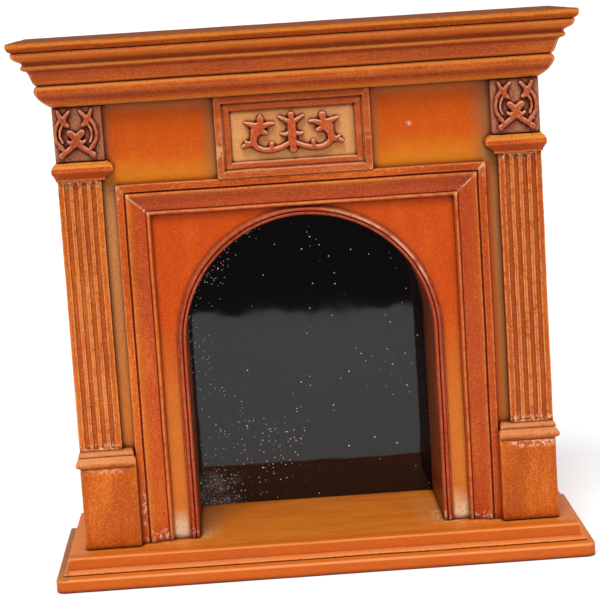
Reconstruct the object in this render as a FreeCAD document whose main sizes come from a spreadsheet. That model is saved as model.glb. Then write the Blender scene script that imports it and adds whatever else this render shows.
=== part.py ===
import FreeCAD, Part
import math
import os
from types import SimpleNamespace

import Sketcher
from FreeCAD import Placement, Rotation, Vector

# Miniature fireplace mantel, 1:12. Millimetres.
# +X is the viewer's right, the front faces -Y, +Z is up.
# The origin is under the middle of the hearth, halfway between its front edge and the back.

os.makedirs("parts", exist_ok=True)
doc = FreeCAD.newDocument("FireplaceMantel")

SHEET_ROWS = [
    ("overallHeight", 104.0, "hearth underside to shelf top"),
    ("overallDepth", 38.0, "hearth front edge to back plane"),
    ("shelfWidth", 106.2, "mantel shelf, end to end"),
    ("shelfDepth", 34.6, "mantel shelf, back plane to front edge"),
    ("shelfThick", 1.8, "mantel shelf board"),
    ("shelfUnder", 1.2, "rounding under the shelf's edges"),
    ("shelfRound", 0.35, "rounding on top of the shelf's edges"),
    ("hearthWidth", 103.4, "lower hearth board"),
    ("hearthThick", 2.6, "lower hearth board"),
    ("hearthCorner", 1.8, "plan radius of the lower hearth board's front corners"),
    ("treadWidth", 98.9, "upper hearth board, at its top"),
    ("treadDepth", 34.4, "upper hearth board, back plane to front edge"),
    ("treadThick", 3.1, "upper hearth board"),
    ("treadFoot", 0.9, "reach of the moulded foot of the upper hearth board"),
    ("bodyWidth", 90.8, "carcass, over its side boards"),
    ("bodyDepth", 24.9, "carcass, back plane to the front board's face"),
    ("boardThick", 3.0, "carcass boards"),
    ("rebate", 1.5, "rebates in the carcass boards"),
    ("housing", 0.8, "depth of the housing that the carcass stands in"),
    ("archRadius", 24.1, "clear radius of the fire opening"),
    ("archCentre", 43.8, "height of the arch centre"),
    ("linerThick", 0.8, "bent lining of the fire opening"),
    ("paneThick", 1.0, "glossy black sheet behind the opening"),
    ("paneWidth", 55.0, "glossy black sheet"),
    ("paneTop", 72.0, "height of the sheet's top edge"),
    ("trimWidth", 1.7, "bead round the opening, across its face"),
    ("trimProud", 0.95, "bead round the opening, in front of the board"),
    ("architraveHalf", 35.3, "centre line to the architrave's outer edge"),
    ("architraveWidth", 6.25, "architrave, across its face"),
    ("architraveTop", 75.9, "height of the architrave's top edge"),
    ("architraveProud", 2.2, "architrave crest in front of the board"),
    ("pilasterOuter", 46.1, "centre line to the pilaster's outer face"),
    ("shaftWidth", 8.2, "fluted shaft"),
    ("shaftProud", 1.9, "fluted shaft in front of the board"),
    ("shaftFoot", 24.7, "height of the shaft's foot"),
    ("shaftTop", 77.4, "height of the shaft's top"),
    ("fluteWidth", 0.95, "flutes in the shaft"),
    ("flutePitch", 1.66, "flutes in the shaft"),
    ("fluteDepth", 0.5, "flutes in the shaft"),
    ("fluteMargin", 0.3, "shaft left plain past each end of a flute"),
    ("plinthProud", 4.2, "plinth block in front of the board"),
    ("plinthTop", 21.7, "height of the plinth block"),
    ("capitalTop", 80.85, "height of the capital's top"),
    ("blockWidth", 9.2, "carved corner block"),
    ("blockProud", 2.4, "corner block in front of the board"),
    ("carvingProud", 0.6, "relief of the corner carvings"),
    ("lilyProud", 0.8, "relief of the tablet's carving"),
    ("sprigShift", 0.3, "how far left of its block's middle the left corner carving is glued"),
    ("carvingShift", 1.1, "how far left of the centre line the tablet's carving is glued"),
    ("corniceFoot", 91.5, "height of the cornice's underside"),
    ("corniceProud", 2.7, "cornice's lowest face in front of the board"),
    ("bedTop", 95.8, "height of the joint between bed and crown mouldings"),
    ("tabletWidth", 29.6, "frieze tablet, over its frame"),
    ("tabletShift", 0.9, "how far left of the centre line the tablet is glued"),
    ("tabletBacking", 1.1, "frieze tablet's backing board"),
    ("tabletFrame", 3.0, "tablet frame moulding, across its face"),
    ("tabletFrameProud", 1.2, "tablet frame in front of its backing"),
]

sheet = doc.addObject("Spreadsheet::Sheet", "Dims")
for row, (alias, number, note) in enumerate(SHEET_ROWS, start=1):
    sheet.set(f"A{row}", note)
    sheet.set(f"B{row}", str(number))
    sheet.setAlias(f"B{row}", alias)
doc.recompute()


class Size:
    """A length: its number, and the expression of sheet cells that it comes from."""

    def __init__(self, text, number):
        self.text = text
        self.number = number

    def __add__(self, other):
        return joined(self, "+", other, lambda a, b: a + b)

    def __radd__(self, other):
        return joined(other, "+", self, lambda a, b: a + b)

    def __sub__(self, other):
        return joined(self, "-", other, lambda a, b: a - b)

    def __rsub__(self, other):
        return joined(other, "-", self, lambda a, b: a - b)

    def __mul__(self, other):
        return joined(self, "*", other, lambda a, b: a * b)

    def __rmul__(self, other):
        return joined(other, "*", self, lambda a, b: a * b)

    def __truediv__(self, other):
        return joined(self, "/", other, lambda a, b: a / b)

    def __neg__(self):
        return self * -1


def as_size(thing):
    return thing if isinstance(thing, Size) else Size(f"({thing})", float(thing))


def joined(first, sign, second, work):
    first, second = as_size(first), as_size(second)
    return Size(f"({first.text} {sign} {second.text})", work(first.number, second.number))


dim = SimpleNamespace(**{alias: Size(f"Dims.{alias}", number) for alias, number, _ in SHEET_ROWS})

BACK = dim.overallDepth / 2
FACE = BACK - dim.bodyDepth
BEHIND_FACE = FACE + dim.boardThick
HEARTH_TOP = dim.hearthThick + dim.treadThick
UNDER_SHELF = dim.overallHeight - dim.shelfThick
BODY_HALF = dim.bodyWidth / 2
INNER_HALF = BODY_HALF - dim.boardThick
BACK_BOARD_HALF = INNER_HALF + dim.rebate
LINER_RADIUS = dim.archRadius + dim.linerThick
SIDES = (("left", -1), ("right", 1))
NEAR = 1e-6
LEAST_CUT = 1e-4
# degrees round the arch from its right springing, where the lengths of bead meet
BEAD_JOINTS = (57, 76, 106)

bodies = []


# ---- drawing helpers ----

def new_body(label, x=None, y=None, z=None):
    body = doc.addObject("PartDesign::Body", label)
    body.Label = label
    for axis, place in (("x", x), ("y", y), ("z", z)):
        if place is not None:
            body.setExpression(f"Placement.Base.{axis}", as_size(place).text)
    bodies.append(body)
    return body


def origin_plane(body, role):
    return next(item for item in body.Origin.OriginFeatures if item.Role == role)


def new_sketch(body, name, role, lift=None):
    sketch = body.newObject("Sketcher::SketchObject", name)
    sketch.AttachmentSupport = [(origin_plane(body, role), "")]
    sketch.MapMode = "FlatFace"
    if lift is not None:
        sketch.AttachmentOffset = Placement(Vector(0, 0, as_size(lift).number), Rotation())
        sketch.setExpression("AttachmentOffset.Base.z", as_size(lift).text)
    return sketch


def arc_through(start, end, radius, bulge):
    # bulge is +1 where the arc swells to the left of the way from start to end, -1 to the right
    chord = end - start
    half = chord.Length / 2
    rise = radius - math.sqrt(max(radius ** 2 - half ** 2, 0))
    left = Vector(-chord.y, chord.x, 0).normalize()
    return Part.Arc(start, (start + end) * 0.5 + left * rise * bulge, end)


def draw_outline(sketch, corners):
    # a corner is (across, up), or (across, up, radius, bulge) where an arc leads to the next corner
    points = [Vector(as_size(c[0]).number, as_size(c[1]).number, 0) for c in corners]
    ends = []
    for index, corner in enumerate(corners):
        start, end = points[index], points[(index + 1) % len(points)]
        if len(corner) == 4:
            edge = sketch.addGeometry(arc_through(start, end, as_size(corner[2]).number, corner[3]))
            row = sketch.addConstraint(Sketcher.Constraint("Radius", edge, as_size(corner[2]).number))
            sketch.setExpression(f"Constraints[{row}]", as_size(corner[2]).text)
        else:
            edge = sketch.addGeometry(Part.LineSegment(start, end))
        forwards = (sketch.getPoint(edge, 1) - start).Length < (sketch.getPoint(edge, 2) - start).Length
        ends.append((edge, 1, 2) if forwards else (edge, 2, 1))
    for index, corner in enumerate(corners):
        edge, first, _ = ends[index]
        before, _, last = ends[index - 1]
        sketch.addConstraint(Sketcher.Constraint("Coincident", before, last, edge, first))
        for kind, place in (("DistanceX", corner[0]), ("DistanceY", corner[1])):
            place = as_size(place)
            row = sketch.addConstraint(Sketcher.Constraint(kind, -1, 1, edge, first, place.number))
            sketch.setExpression(f"Constraints[{row}]", place.text)
    doc.recompute()
    return sketch


def pad(body, sketch, length, backwards=False):
    feature = body.newObject("PartDesign::Pad", "Pad")
    feature.Profile = sketch
    feature.setExpression("Length", as_size(length).text)
    feature.Reversed = backwards
    body.Tip = feature
    doc.recompute()
    return feature


def pocket(body, sketch, depth=None, backwards=False):
    before = body.Shape.Volume
    feature = body.newObject("PartDesign::Pocket", "Pocket")
    feature.Profile = sketch
    feature.Reversed = backwards
    if depth is None:
        feature.Type = "ThroughAll"
    else:
        feature.setExpression("Length", as_size(depth).text)
    body.Tip = feature
    doc.recompute()
    if not body.Shape.Volume < before - LEAST_CUT:
        raise RuntimeError(f"{body.Label}: {sketch.Label} removes nothing")
    return feature


def fillet(body, name, base, edges, radius):
    feature = body.newObject("PartDesign::Fillet", name)
    feature.Base = (base, edges)
    feature.setExpression("Radius", radius.text)
    body.Tip = feature
    doc.recompute()
    return feature


def rectangle(left, right, low, high):
    return [(left, low), (right, low), (right, high), (left, high)]


def arched(radius, foot, centre=dim.archCentre):
    # the corners of an arched opening, from its left foot over the crown to its right foot
    return [
        (-radius, foot),
        (-radius, centre, radius, 1),
        (0, centre + radius, radius, 1),
        (radius, centre),
        (radius, foot),
    ]


def board(label, outline, back, thick):
    # a flat board drawn in front view, its rear face at y = back
    body = new_body(label, y=back)
    pad(body, draw_outline(new_sketch(body, f"{label}_outline", "XZ_Plane"), outline), thick)
    return body


def stepped_block(label, edges, levels):
    # a block whose left, right and front faces step in and out: each level is (height, left, right, front)
    left, right, front, back = edges
    body = new_body(label)
    outlines = []
    for index, (height, out_left, out_right, out_front) in enumerate(levels):
        sketch = new_sketch(body, f"{label}_level_{index}", "XY_Plane", lift=height)
        corners = rectangle(left - out_left, right + out_right, front - out_front, back)
        outlines.append(draw_outline(sketch, corners))
    loft = body.newObject("PartDesign::AdditiveLoft", "Loft")
    loft.Profile = outlines[0]
    loft.Sections = outlines[1:]
    loft.Ruled = True
    body.Tip = loft
    doc.recompute()
    return body


# ---- hearth ----

def hearth_base_board():
    half = dim.hearthWidth / 2
    front = -dim.overallDepth / 2
    corner = dim.hearthCorner
    body = new_body("hearth_base_board")
    outline = [
        (-half, BACK),
        (-half, front + corner, corner, -1),
        (-half + corner, front),
        (half - corner, front, corner, -1),
        (half, front + corner),
        (half, BACK),
    ]
    pad(body, draw_outline(new_sketch(body, "hearth_plan", "XY_Plane"), outline), dim.hearthThick)


def hearth_top_board():
    half = dim.treadWidth / 2
    foot = dim.treadFoot
    low = dim.hearthThick
    levels = [
        (low, foot, foot, foot),
        (low + 0.35, foot, foot, foot),
        (low + 0.5, foot * 0.5, foot * 0.5, foot * 0.5),
        (low + 0.85, foot * 0.2, foot * 0.2, foot * 0.2),
        (low + 0.9, 0, 0, 0),
        (HEARTH_TOP - 0.45, 0, 0, 0),
        (HEARTH_TOP - 0.12, -0.12, -0.12, -0.12),
        (HEARTH_TOP, -0.4, -0.4, -0.4),
    ]
    body = stepped_block("hearth_top_board", (-half, half, BACK - dim.treadDepth, BACK), levels)
    for side, sign in SIDES:
        outline = [
            (sign * LINER_RADIUS, FACE),
            (sign * BODY_HALF, FACE),
            (sign * BODY_HALF, BACK),
            (sign * LINER_RADIUS, BACK),
            (sign * LINER_RADIUS, BACK - dim.boardThick),
            (sign * INNER_HALF, BACK - dim.boardThick),
            (sign * INNER_HALF, BEHIND_FACE),
            (sign * LINER_RADIUS, BEHIND_FACE),
        ]
        sketch = new_sketch(body, f"housing_{side}", "XY_Plane", lift=HEARTH_TOP)
        pocket(body, draw_outline(sketch, outline), dim.housing)


# ---- carcass ----

def front_board():
    foot = HEARTH_TOP - dim.housing
    outline = arched(LINER_RADIUS, foot)
    outline += [(BODY_HALF, foot), (BODY_HALF, UNDER_SHELF), (-BODY_HALF, UNDER_SHELF), (-BODY_HALF, foot)]
    body = board("front_board", outline, BEHIND_FACE, dim.boardThick)
    for side, sign in SIDES:
        corners = rectangle(sign * INNER_HALF, sign * BODY_HALF, foot, UNDER_SHELF)
        sketch = draw_outline(new_sketch(body, f"rebate_{side}", "XZ_Plane"), corners)
        pocket(body, sketch, dim.rebate, backwards=True)


def side_board(side, sign):
    foot = HEARTH_TOP - dim.housing
    body = new_body(f"side_board_{side}", z=foot)
    outline = [
        (sign * BODY_HALF, BEHIND_FACE - dim.rebate),
        (sign * BODY_HALF, BACK),
        (sign * BACK_BOARD_HALF, BACK),
        (sign * BACK_BOARD_HALF, BACK - dim.boardThick),
        (sign * INNER_HALF, BACK - dim.boardThick),
        (sign * INNER_HALF, BEHIND_FACE - dim.rebate),
    ]
    pad(body, draw_outline(new_sketch(body, f"side_plan_{side}", "XY_Plane"), outline), UNDER_SHELF - foot)
    corners = rectangle(sign * INNER_HALF, sign * BACK_BOARD_HALF, BEHIND_FACE, BACK - dim.boardThick)
    sketch = new_sketch(body, f"top_rebate_{side}", "XY_Plane", lift=UNDER_SHELF - foot)
    pocket(body, draw_outline(sketch, corners), dim.boardThick)


def top_board():
    body = new_body("top_board", z=UNDER_SHELF - dim.boardThick)
    corners = rectangle(-BACK_BOARD_HALF, BACK_BOARD_HALF, BEHIND_FACE, BACK - dim.boardThick)
    pad(body, draw_outline(new_sketch(body, "top_plan", "XY_Plane"), corners), dim.boardThick)


def back_board():
    foot = HEARTH_TOP - dim.housing
    outline = arched(LINER_RADIUS, foot)
    outline += [
        (BACK_BOARD_HALF, foot),
        (BACK_BOARD_HALF, UNDER_SHELF),
        (-BACK_BOARD_HALF, UNDER_SHELF),
        (-BACK_BOARD_HALF, foot),
    ]
    body = board("back_board", outline, BACK, dim.boardThick)
    corners = rectangle(-dim.paneWidth / 2, dim.paneWidth / 2, HEARTH_TOP, dim.paneTop)
    sketch = draw_outline(new_sketch(body, "pane_rebate", "XZ_Plane"), corners)
    pocket(body, sketch, dim.paneThick, backwards=True)


def firebox_pane():
    corners = rectangle(-dim.paneWidth / 2, dim.paneWidth / 2, HEARTH_TOP, dim.paneTop)
    board("firebox_pane", corners, BACK, dim.paneThick)


def arch_liner():
    inner = arched(dim.archRadius, HEARTH_TOP)
    outer = arched(LINER_RADIUS, HEARTH_TOP)
    # the outer arch is walked back from right to left, so its arcs swell to the other side
    returning = [
        outer[4],
        (outer[3][0], outer[3][1], LINER_RADIUS, -1),
        (outer[2][0], outer[2][1], LINER_RADIUS, -1),
        outer[1][:2],
        outer[0],
    ]
    board("arch_liner", inner + returning, BACK - dim.paneThick, dim.bodyDepth - dim.paneThick)


# ---- bead round the opening ----

def bead_section(sign, base=0):
    # across the face from the opening outwards: an inner band, a quirk, a round and a thin fillet
    inner = dim.archRadius
    width = dim.trimWidth
    proud = dim.trimProud
    section = [
        (0, 0),
        (0, 0.5),
        (0.12, 0.72),
        (0.3, 0.8),
        (0.36, 0.5),
        (0.42, 0.5),
        (0.48, 0.85),
        (0.6, 1.0),
        (0.74, 0.95),
        (0.84, 0.6),
        (0.87, 0.3),
        (0.92, 0.36),
        (1.0, 0.3),
        (1.0, 0),
    ]
    return [(sign * (inner + width * across), base - proud * out) for across, out in section]


def bead_leg_and_curve(label, sign, sweep):
    body = new_body(label, y=FACE, z=dim.archCentre)
    sketch = draw_outline(new_sketch(body, f"{label}_section", "XY_Plane"), bead_section(sign))
    pad(body, sketch, dim.archCentre - HEARTH_TOP, backwards=True)
    turned(body, sketch, -sign * sweep)


def turned(body, sketch, sweep):
    # carries the section round the arch centre, which is the body's Y axis
    axis = origin_plane(body, "Y_Axis")
    feature = body.newObject("PartDesign::Revolution", "Curve")
    feature.Profile = sketch
    feature.ReferenceAxis = (axis, [""])
    feature.Angle = abs(sweep)
    feature.Reversed = sweep < 0
    body.Tip = feature
    doc.recompute()


def bead_curve(label, start, sweep):
    # start is measured from the right springing, anticlockwise in front view
    body = new_body(label, y=FACE, z=dim.archCentre)
    body.Placement = Placement(body.Placement.Base, Rotation(Vector(0, -1, 0), start))
    turned(body, draw_outline(new_sketch(body, f"{label}_section", "XY_Plane"), bead_section(1)), -sweep)


# ---- architrave ----

def architrave_section():
    # from the outer edge inwards: (share of the width, share of how proud the crest is)
    return [(0, 0), (0, 0.9), (0.22, 0.9), (0.24, 0.68), (0.27, 0.68), (0.29, 1.0), (0.36, 1.0),
            (0.46, 0.82), (0.6, 0.58), (0.74, 0.44), (0.84, 0.4), (0.86, 0.32), (0.88, 0.54),
            (0.91, 0.6), (0.95, 0.58), (0.97, 0.46), (1.0, 0.2), (1.0, 0)]


def architrave_leg(side, sign):
    body = new_body(f"architrave_{side}", y=FACE)
    half, width, proud = dim.architraveHalf, dim.architraveWidth, dim.architraveProud
    section = [(sign * (half - width * across), -proud * out) for across, out in architrave_section()]
    sketch = new_sketch(body, f"architrave_section_{side}", "XY_Plane", lift=HEARTH_TOP)
    pad(body, draw_outline(sketch, section), dim.architraveTop - HEARTH_TOP)
    spare = 1
    mitre = [
        (sign * (half + spare), dim.architraveTop + spare),
        (sign * (half - width - spare), dim.architraveTop - width - spare),
        (sign * (half - width - spare), dim.architraveTop + spare),
    ]
    sketch = draw_outline(new_sketch(body, f"architrave_mitre_{side}", "XZ_Plane"), mitre)
    pocket(body, sketch, backwards=True)


def architrave_head():
    body = new_body("architrave_head", x=-dim.architraveHalf, y=FACE)
    half, width, proud = dim.architraveHalf, dim.architraveWidth, dim.architraveProud
    section = [(-proud * out, dim.architraveTop - width * across) for across, out in architrave_section()]
    pad(body, draw_outline(new_sketch(body, "head_section", "YZ_Plane"), section), half * 2)
    spare = 1
    for side, sign in SIDES:
        mitre = [
            (half + sign * (half + spare), dim.architraveTop + spare),
            (half + sign * (half - width - spare), dim.architraveTop - width - spare),
            (half + sign * (half + spare), dim.architraveTop - width - spare),
        ]
        sketch = draw_outline(new_sketch(body, f"head_mitre_{side}", "XZ_Plane"), mitre)
        pocket(body, sketch, backwards=True)


# ---- pilasters ----

def pilaster_edges(sign, width, proud):
    inner, outer = sign * (dim.pilasterOuter - width), sign * dim.pilasterOuter
    left, right = (inner, outer) if sign > 0 else (outer, inner)
    return left, right, FACE - proud, FACE


def reaches(sign, inner, outer, front):
    return (inner, outer, front) if sign > 0 else (outer, inner, front)


def plinth_block(side, sign):
    width = dim.pilasterOuter - dim.architraveHalf
    edges = pilaster_edges(sign, width, dim.plinthProud)
    board_edges = rectangle(edges[0], edges[1], HEARTH_TOP, dim.plinthTop)
    board(f"plinth_block_{side}", board_edges, FACE, dim.plinthProud)


def base_moulding(side, sign):
    width = dim.pilasterOuter - dim.architraveHalf
    low, high = dim.plinthTop, dim.shaftFoot
    rise = high - low
    levels = [
        (low, *reaches(sign, 0, 0, -0.1)),
        (low + rise * 0.06, *reaches(sign, 0, 0, -0.1)),
        (low + rise * 0.14, *reaches(sign, 0, 0.6, 0.35)),
        (low + rise * 0.3, *reaches(sign, 0, 0.8, 0.5)),
        (low + rise * 0.44, *reaches(sign, 0, 0.65, 0.35)),
        (low + rise * 0.52, *reaches(sign, -0.2, 0.35, -0.05)),
        (low + rise * 0.7, *reaches(sign, -0.45, 0.1, -0.75)),
        (low + rise * 0.76, *reaches(sign, -0.35, 0.25, -0.55)),
        (low + rise * 0.9, *reaches(sign, -0.4, 0.2, -0.65)),
        (high, *reaches(sign, -0.65, -0.05, -1.2)),
    ]
    stepped_block(f"base_moulding_{side}", pilaster_edges(sign, width, dim.plinthProud), levels)


def fluted_shaft(side, sign):
    body = new_body(f"fluted_shaft_{side}", y=FACE)
    left, right, _, _ = pilaster_edges(sign, dim.shaftWidth, dim.shaftProud)
    corners = rectangle(left, right, dim.shaftFoot, dim.shaftTop)
    pad(body, draw_outline(new_sketch(body, f"shaft_outline_{side}", "XZ_Plane"), corners), dim.shaftProud)
    flutes = 4
    start = left + (dim.shaftWidth - dim.flutePitch * (flutes - 1) - dim.fluteWidth) / 2
    radius = dim.fluteWidth / 2
    low = dim.shaftFoot + dim.fluteMargin + radius
    high = dim.shaftTop - dim.fluteMargin - radius
    slot = [
        (start, high, radius, 1),
        (start + radius, high + radius, radius, 1),
        (start + dim.fluteWidth, high),
        (start + dim.fluteWidth, low, radius, 1),
        (start + radius, low - radius, radius, 1),
        (start, low),
    ]
    sketch = new_sketch(body, f"flute_{side}", "XZ_Plane", lift=dim.shaftProud)
    cut = pocket(body, draw_outline(sketch, slot), dim.fluteDepth)
    pattern = body.newObject("PartDesign::LinearPattern", "Flutes")
    pattern.Originals = [cut]
    pattern.Direction = (sketch, ["H_Axis"])
    pattern.Occurrences = flutes
    pattern.setExpression("Length", (dim.flutePitch * (flutes - 1)).text)
    body.Tip = pattern
    doc.recompute()


def capital_moulding(side, sign):
    low, high = dim.shaftTop, dim.capitalTop
    rise = high - low
    levels = [
        (low, *reaches(sign, 0.8, 0.3, 0.7)),
        (low + rise * 0.14, *reaches(sign, 0.8, 0.3, 0.7)),
        (low + rise * 0.18, *reaches(sign, 1.1, 0.4, 1.0)),
        (low + rise * 0.3, *reaches(sign, 1.6, 0.55, 1.4)),
        (low + rise * 0.42, *reaches(sign, 2.2, 0.8, 1.85)),
        (low + rise * 0.5, *reaches(sign, 2.5, 0.9, 2.1)),
        (low + rise * 0.72, *reaches(sign, 2.45, 0.85, 2.05)),
        (low + rise * 0.86, *reaches(sign, 2.1, 0.6, 1.7)),
        (low + rise * 0.93, *reaches(sign, 1.6, 0.3, 1.1)),
        (high, *reaches(sign, 1.4, 0.2, 0.9)),
    ]
    stepped_block(f"capital_moulding_{side}", pilaster_edges(sign, dim.shaftWidth, dim.shaftProud), levels)


def corner_block(side, sign):
    edges = pilaster_edges(sign, dim.blockWidth, dim.blockProud)
    corners = rectangle(edges[0], edges[1], dim.capitalTop, dim.corniceFoot)
    board(f"corner_block_{side}", corners, FACE, dim.blockProud)


# ---- carvings ----

def relief(label, strokes, across, up, back, proud):
    # carved strokes as tapering round-ended bars of one thickness, fused where they meet
    outwards = Vector(0, -1, 0)
    pieces = []
    for points in strokes:
        for x, z, radius in points:
            pieces.append(Part.makeCylinder(radius, proud, Vector(x, 0, z), outwards))
        for first, last in zip(points, points[1:]):
            start, end = Vector(first[0], 0, first[1]), Vector(last[0], 0, last[1])
            beside = (end - start).cross(outwards).normalize()
            near, far = beside * first[2], beside * last[2]
            loop = [start - near, end - far, end + far, start + near, start - near]
            pieces.append(Part.Face(Part.makePolygon(loop)).extrude(outwards * proud))
    shape = pieces[0].multiFuse(pieces[1:]).removeSplitter()
    feature = doc.addObject("Part::Feature", label)
    feature.Label = label
    feature.Shape = shape
    feature.Placement = Placement(Vector(across, back, up), Rotation())
    bodies.append(feature)


def flipped(strokes):
    return [[(-x, z, radius) for x, z, radius in points] for points in strokes]


# strokes as (across, up, radius), from the middle of the carving
BLOCK_SPRIG = [
    [(-1.0, 4.45, 0.18), (-1.95, 3.3, 0.32), (-2.3, 2.85, 0.6), (-1.95, 2.1, 0.4), (-1.4, 1.75, 0.24)],
    [(-3.2, 4.55, 0.18), (-2.75, 3.5, 0.3), (-2.3, 2.85, 0.5)],
    [(-2.8, 2.9, 0.24), (-3.6, 1.6, 0.27), (-3.9, 0.2, 0.27), (-3.7, -1.1, 0.27), (-2.6, -2.7, 0.27)],
    [(-2.4, 2.0, 0.2), (-2.95, 0.9, 0.17), (-3.05, -0.3, 0.16), (-2.6, -1.4, 0.16)],
    [(-1.15, 0.35, 0.5), (-0.5, -0.25, 0.55), (0, -0.9, 0.58), (0, -1.7, 0.4)],
    [(-0.3, -1.1, 0.25), (-1.2, -1.6, 0.22), (-1.6, -1.2, 0.2)],
    [(0, -1.6, 0.45), (-1.2, -2.6, 0.4), (-2.4, -3.45, 0.36), (-3.0, -3.95, 0.48)],
    [(-2.4, -3.3, 0.24), (-2.6, -2.7, 0.24), (-3.2, -2.3, 0.22)],
]
BLOCK_CARVING = BLOCK_SPRIG + flipped(BLOCK_SPRIG)

TABLET_LILY = [
    [(-7.0, 1.8, 0.5), (-7.8, 2.15, 0.36), (-8.9, 2.6, 0.13)],
    [(-5.4, 1.7, 0.45), (-4.3, 2.05, 0.33), (-3.35, 2.15, 0.13)],
    [(-6.5, 1.3, 1.05), (-6.9, 0.8, 0.95), (-7.3, -0.2, 0.62), (-7.5, -1.2, 0.58)],
    [(-5.9, 0.8, 0.5), (-4.8, 0.35, 0.24)],
    [(-7.5, -1.3, 0.5), (-8.6, -1.6, 0.36), (-9.5, -1.95, 0.26)],
    [(-8.4, -1.5, 0.24), (-9.0, -0.9, 0.14)],
    [(-7.5, -1.3, 0.5), (-6.8, -2.3, 0.4), (-5.5, -2.85, 0.36), (-3.9, -2.9, 0.36), (-2.1, -2.5, 0.36),
     (-0.8, -1.9, 0.36)],
    [(-4.0, -2.7, 0.32), (-3.95, -1.75, 0.38)],
    [(-0.6, 0, 0.35), (-1.5, -0.15, 0.24), (-2.1, 0.05, 0.14)],
    [(0, 2.1, 0.45), (-0.9, 2.45, 0.33), (-2.4, 3.35, 0.15)],
]
TABLET_STEM = [
    [(0, 3.5, 0.5), (0, 2.6, 0.42), (0, 2.1, 0.72), (0, -1.9, 0.72)],
    [(0.1, -1.9, 0.4), (0.1, -3.0, 0.62)],
]
POINTED_PETAL = [[(-5.9, 2.0, 0.45), (-5.9, 2.95, 0.6), (-5.95, 3.8, 0.13)]]
ROUND_PETAL = [[(5.95, 2.2, 0.4), (5.95, 3.1, 0.62)]]
TABLET_CARVING = TABLET_LILY + POINTED_PETAL + TABLET_STEM + flipped(TABLET_LILY) + ROUND_PETAL


def corner_carving(side, sign):
    across = sign * (dim.pilasterOuter - dim.blockWidth / 2)
    if side == "left":
        across = across - dim.sprigShift
    up = (dim.capitalTop + dim.corniceFoot) / 2
    back = FACE - dim.blockProud
    relief(f"corner_carving_{side}", BLOCK_CARVING, across.number, up.number, back.number,
           dim.carvingProud.number)


# ---- frieze tablet ----

TABLET_LOW = dim.architraveTop
TABLET_HIGH = dim.corniceFoot


def tablet_backing():
    half = dim.tabletWidth / 2
    body = board("tablet_backing", rectangle(-half, half, TABLET_LOW, TABLET_HIGH), FACE, dim.tabletBacking)
    body.setExpression("Placement.Base.x", (-dim.tabletShift).text)


def tablet_frame_section():
    # from the outer edge inwards: (share of the width, share of how proud it is)
    return [(0, 0), (0, 1.0), (0.44, 1.0), (0.49, 0.56), (0.55, 0.5), (0.62, 0.62), (0.86, 0.58),
            (0.94, 0.5), (1.0, 0.12), (1.0, 0)]


def tablet_mitre(body, name, plane, first, last, square):
    pocket(body, draw_outline(new_sketch(body, name, plane), [first, last, square]), backwards=True)


def tablet_stile(side, sign):
    half, width = dim.tabletWidth / 2, dim.tabletFrame
    proud = dim.tabletFrameProud
    body = new_body(f"tablet_stile_{side}", x=-dim.tabletShift, y=FACE - dim.tabletBacking)
    section = [(sign * (half - width * across), -proud * out) for across, out in tablet_frame_section()]
    sketch = new_sketch(body, f"stile_section_{side}", "XY_Plane", lift=TABLET_LOW)
    pad(body, draw_outline(sketch, section), TABLET_HIGH - TABLET_LOW)
    spare = 0.5
    inner, outer = sign * (half - width - spare), sign * (half + spare)
    for end, edge, way in (("low", TABLET_LOW, 1), ("high", TABLET_HIGH, -1)):
        first = (outer, edge - way * spare)
        last = (inner, edge + way * (width + spare))
        tablet_mitre(body, f"stile_mitre_{side}_{end}", "XZ_Plane", first, last, (inner, edge - way * spare))


def tablet_rail(end, edge, way):
    half, width = dim.tabletWidth / 2, dim.tabletFrame
    proud = dim.tabletFrameProud
    body = new_body(f"tablet_rail_{end}", x=-dim.tabletShift - half, y=FACE - dim.tabletBacking)
    section = [(-proud * out, edge + way * width * across) for across, out in tablet_frame_section()]
    pad(body, draw_outline(new_sketch(body, f"rail_section_{end}", "YZ_Plane"), section), dim.tabletWidth)
    spare = 0.5
    for side, sign in SIDES:
        inner, outer = half + sign * (half - width - spare), half + sign * (half + spare)
        first = (outer, edge - way * spare)
        last = (inner, edge + way * (width + spare))
        square = (outer, edge + way * (width + spare))
        tablet_mitre(body, f"rail_mitre_{end}_{side}", "XZ_Plane", first, last, square)


def tablet_carving():
    up = (TABLET_LOW + TABLET_HIGH) / 2
    back = FACE - dim.tabletBacking
    relief("tablet_carving", TABLET_CARVING, -dim.carvingShift.number, up.number, back.number,
           dim.lilyProud.number)


# ---- cornice ----

CORNICE_HALF = dim.pilasterOuter
CORNICE_FACE = FACE - dim.corniceProud
CORNICE_REACH = dim.shelfWidth / 2 - dim.pilasterOuter


def bed_section():
    # (reach beyond the cornice's lowest face, height), from the foot up
    low, high = dim.corniceFoot, dim.bedTop
    rise = high - low
    return [
        (0, low),
        (0.15, low + rise * 0.03),
        (0.9, low + rise * 0.15),
        (1.75, low + rise * 0.33),
        (2.35, low + rise * 0.52),
        (2.7, low + rise * 0.68),
        (2.8, low + rise * 0.8),
        (2.6, low + rise * 0.91),
        (2.25, high),
    ]


def crown_section():
    low, high = dim.bedTop, UNDER_SHELF
    rise = high - low
    reach = CORNICE_REACH
    return [
        (reach * 0.32, low),
        (reach * 0.39, low + rise * 0.06),
        (reach * 0.45, low + rise * 0.24),
        (reach * 0.5, low + rise * 0.4),
        (reach * 0.53, low + rise * 0.44),
        (reach * 0.63, low + rise * 0.475),
        (reach * 0.67, low + rise * 0.52),
        (reach * 0.67, low + rise * 0.57),
        (reach * 0.63, low + rise * 0.61),
        (reach * 0.62, low + rise * 0.66),
        (reach * 0.68, low + rise * 0.71),
        (reach * 0.8, low + rise * 0.77),
        (reach * 0.87, low + rise * 0.84),
        (reach * 0.9, low + rise * 0.93),
        (reach * 0.88, high),
    ]


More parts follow.
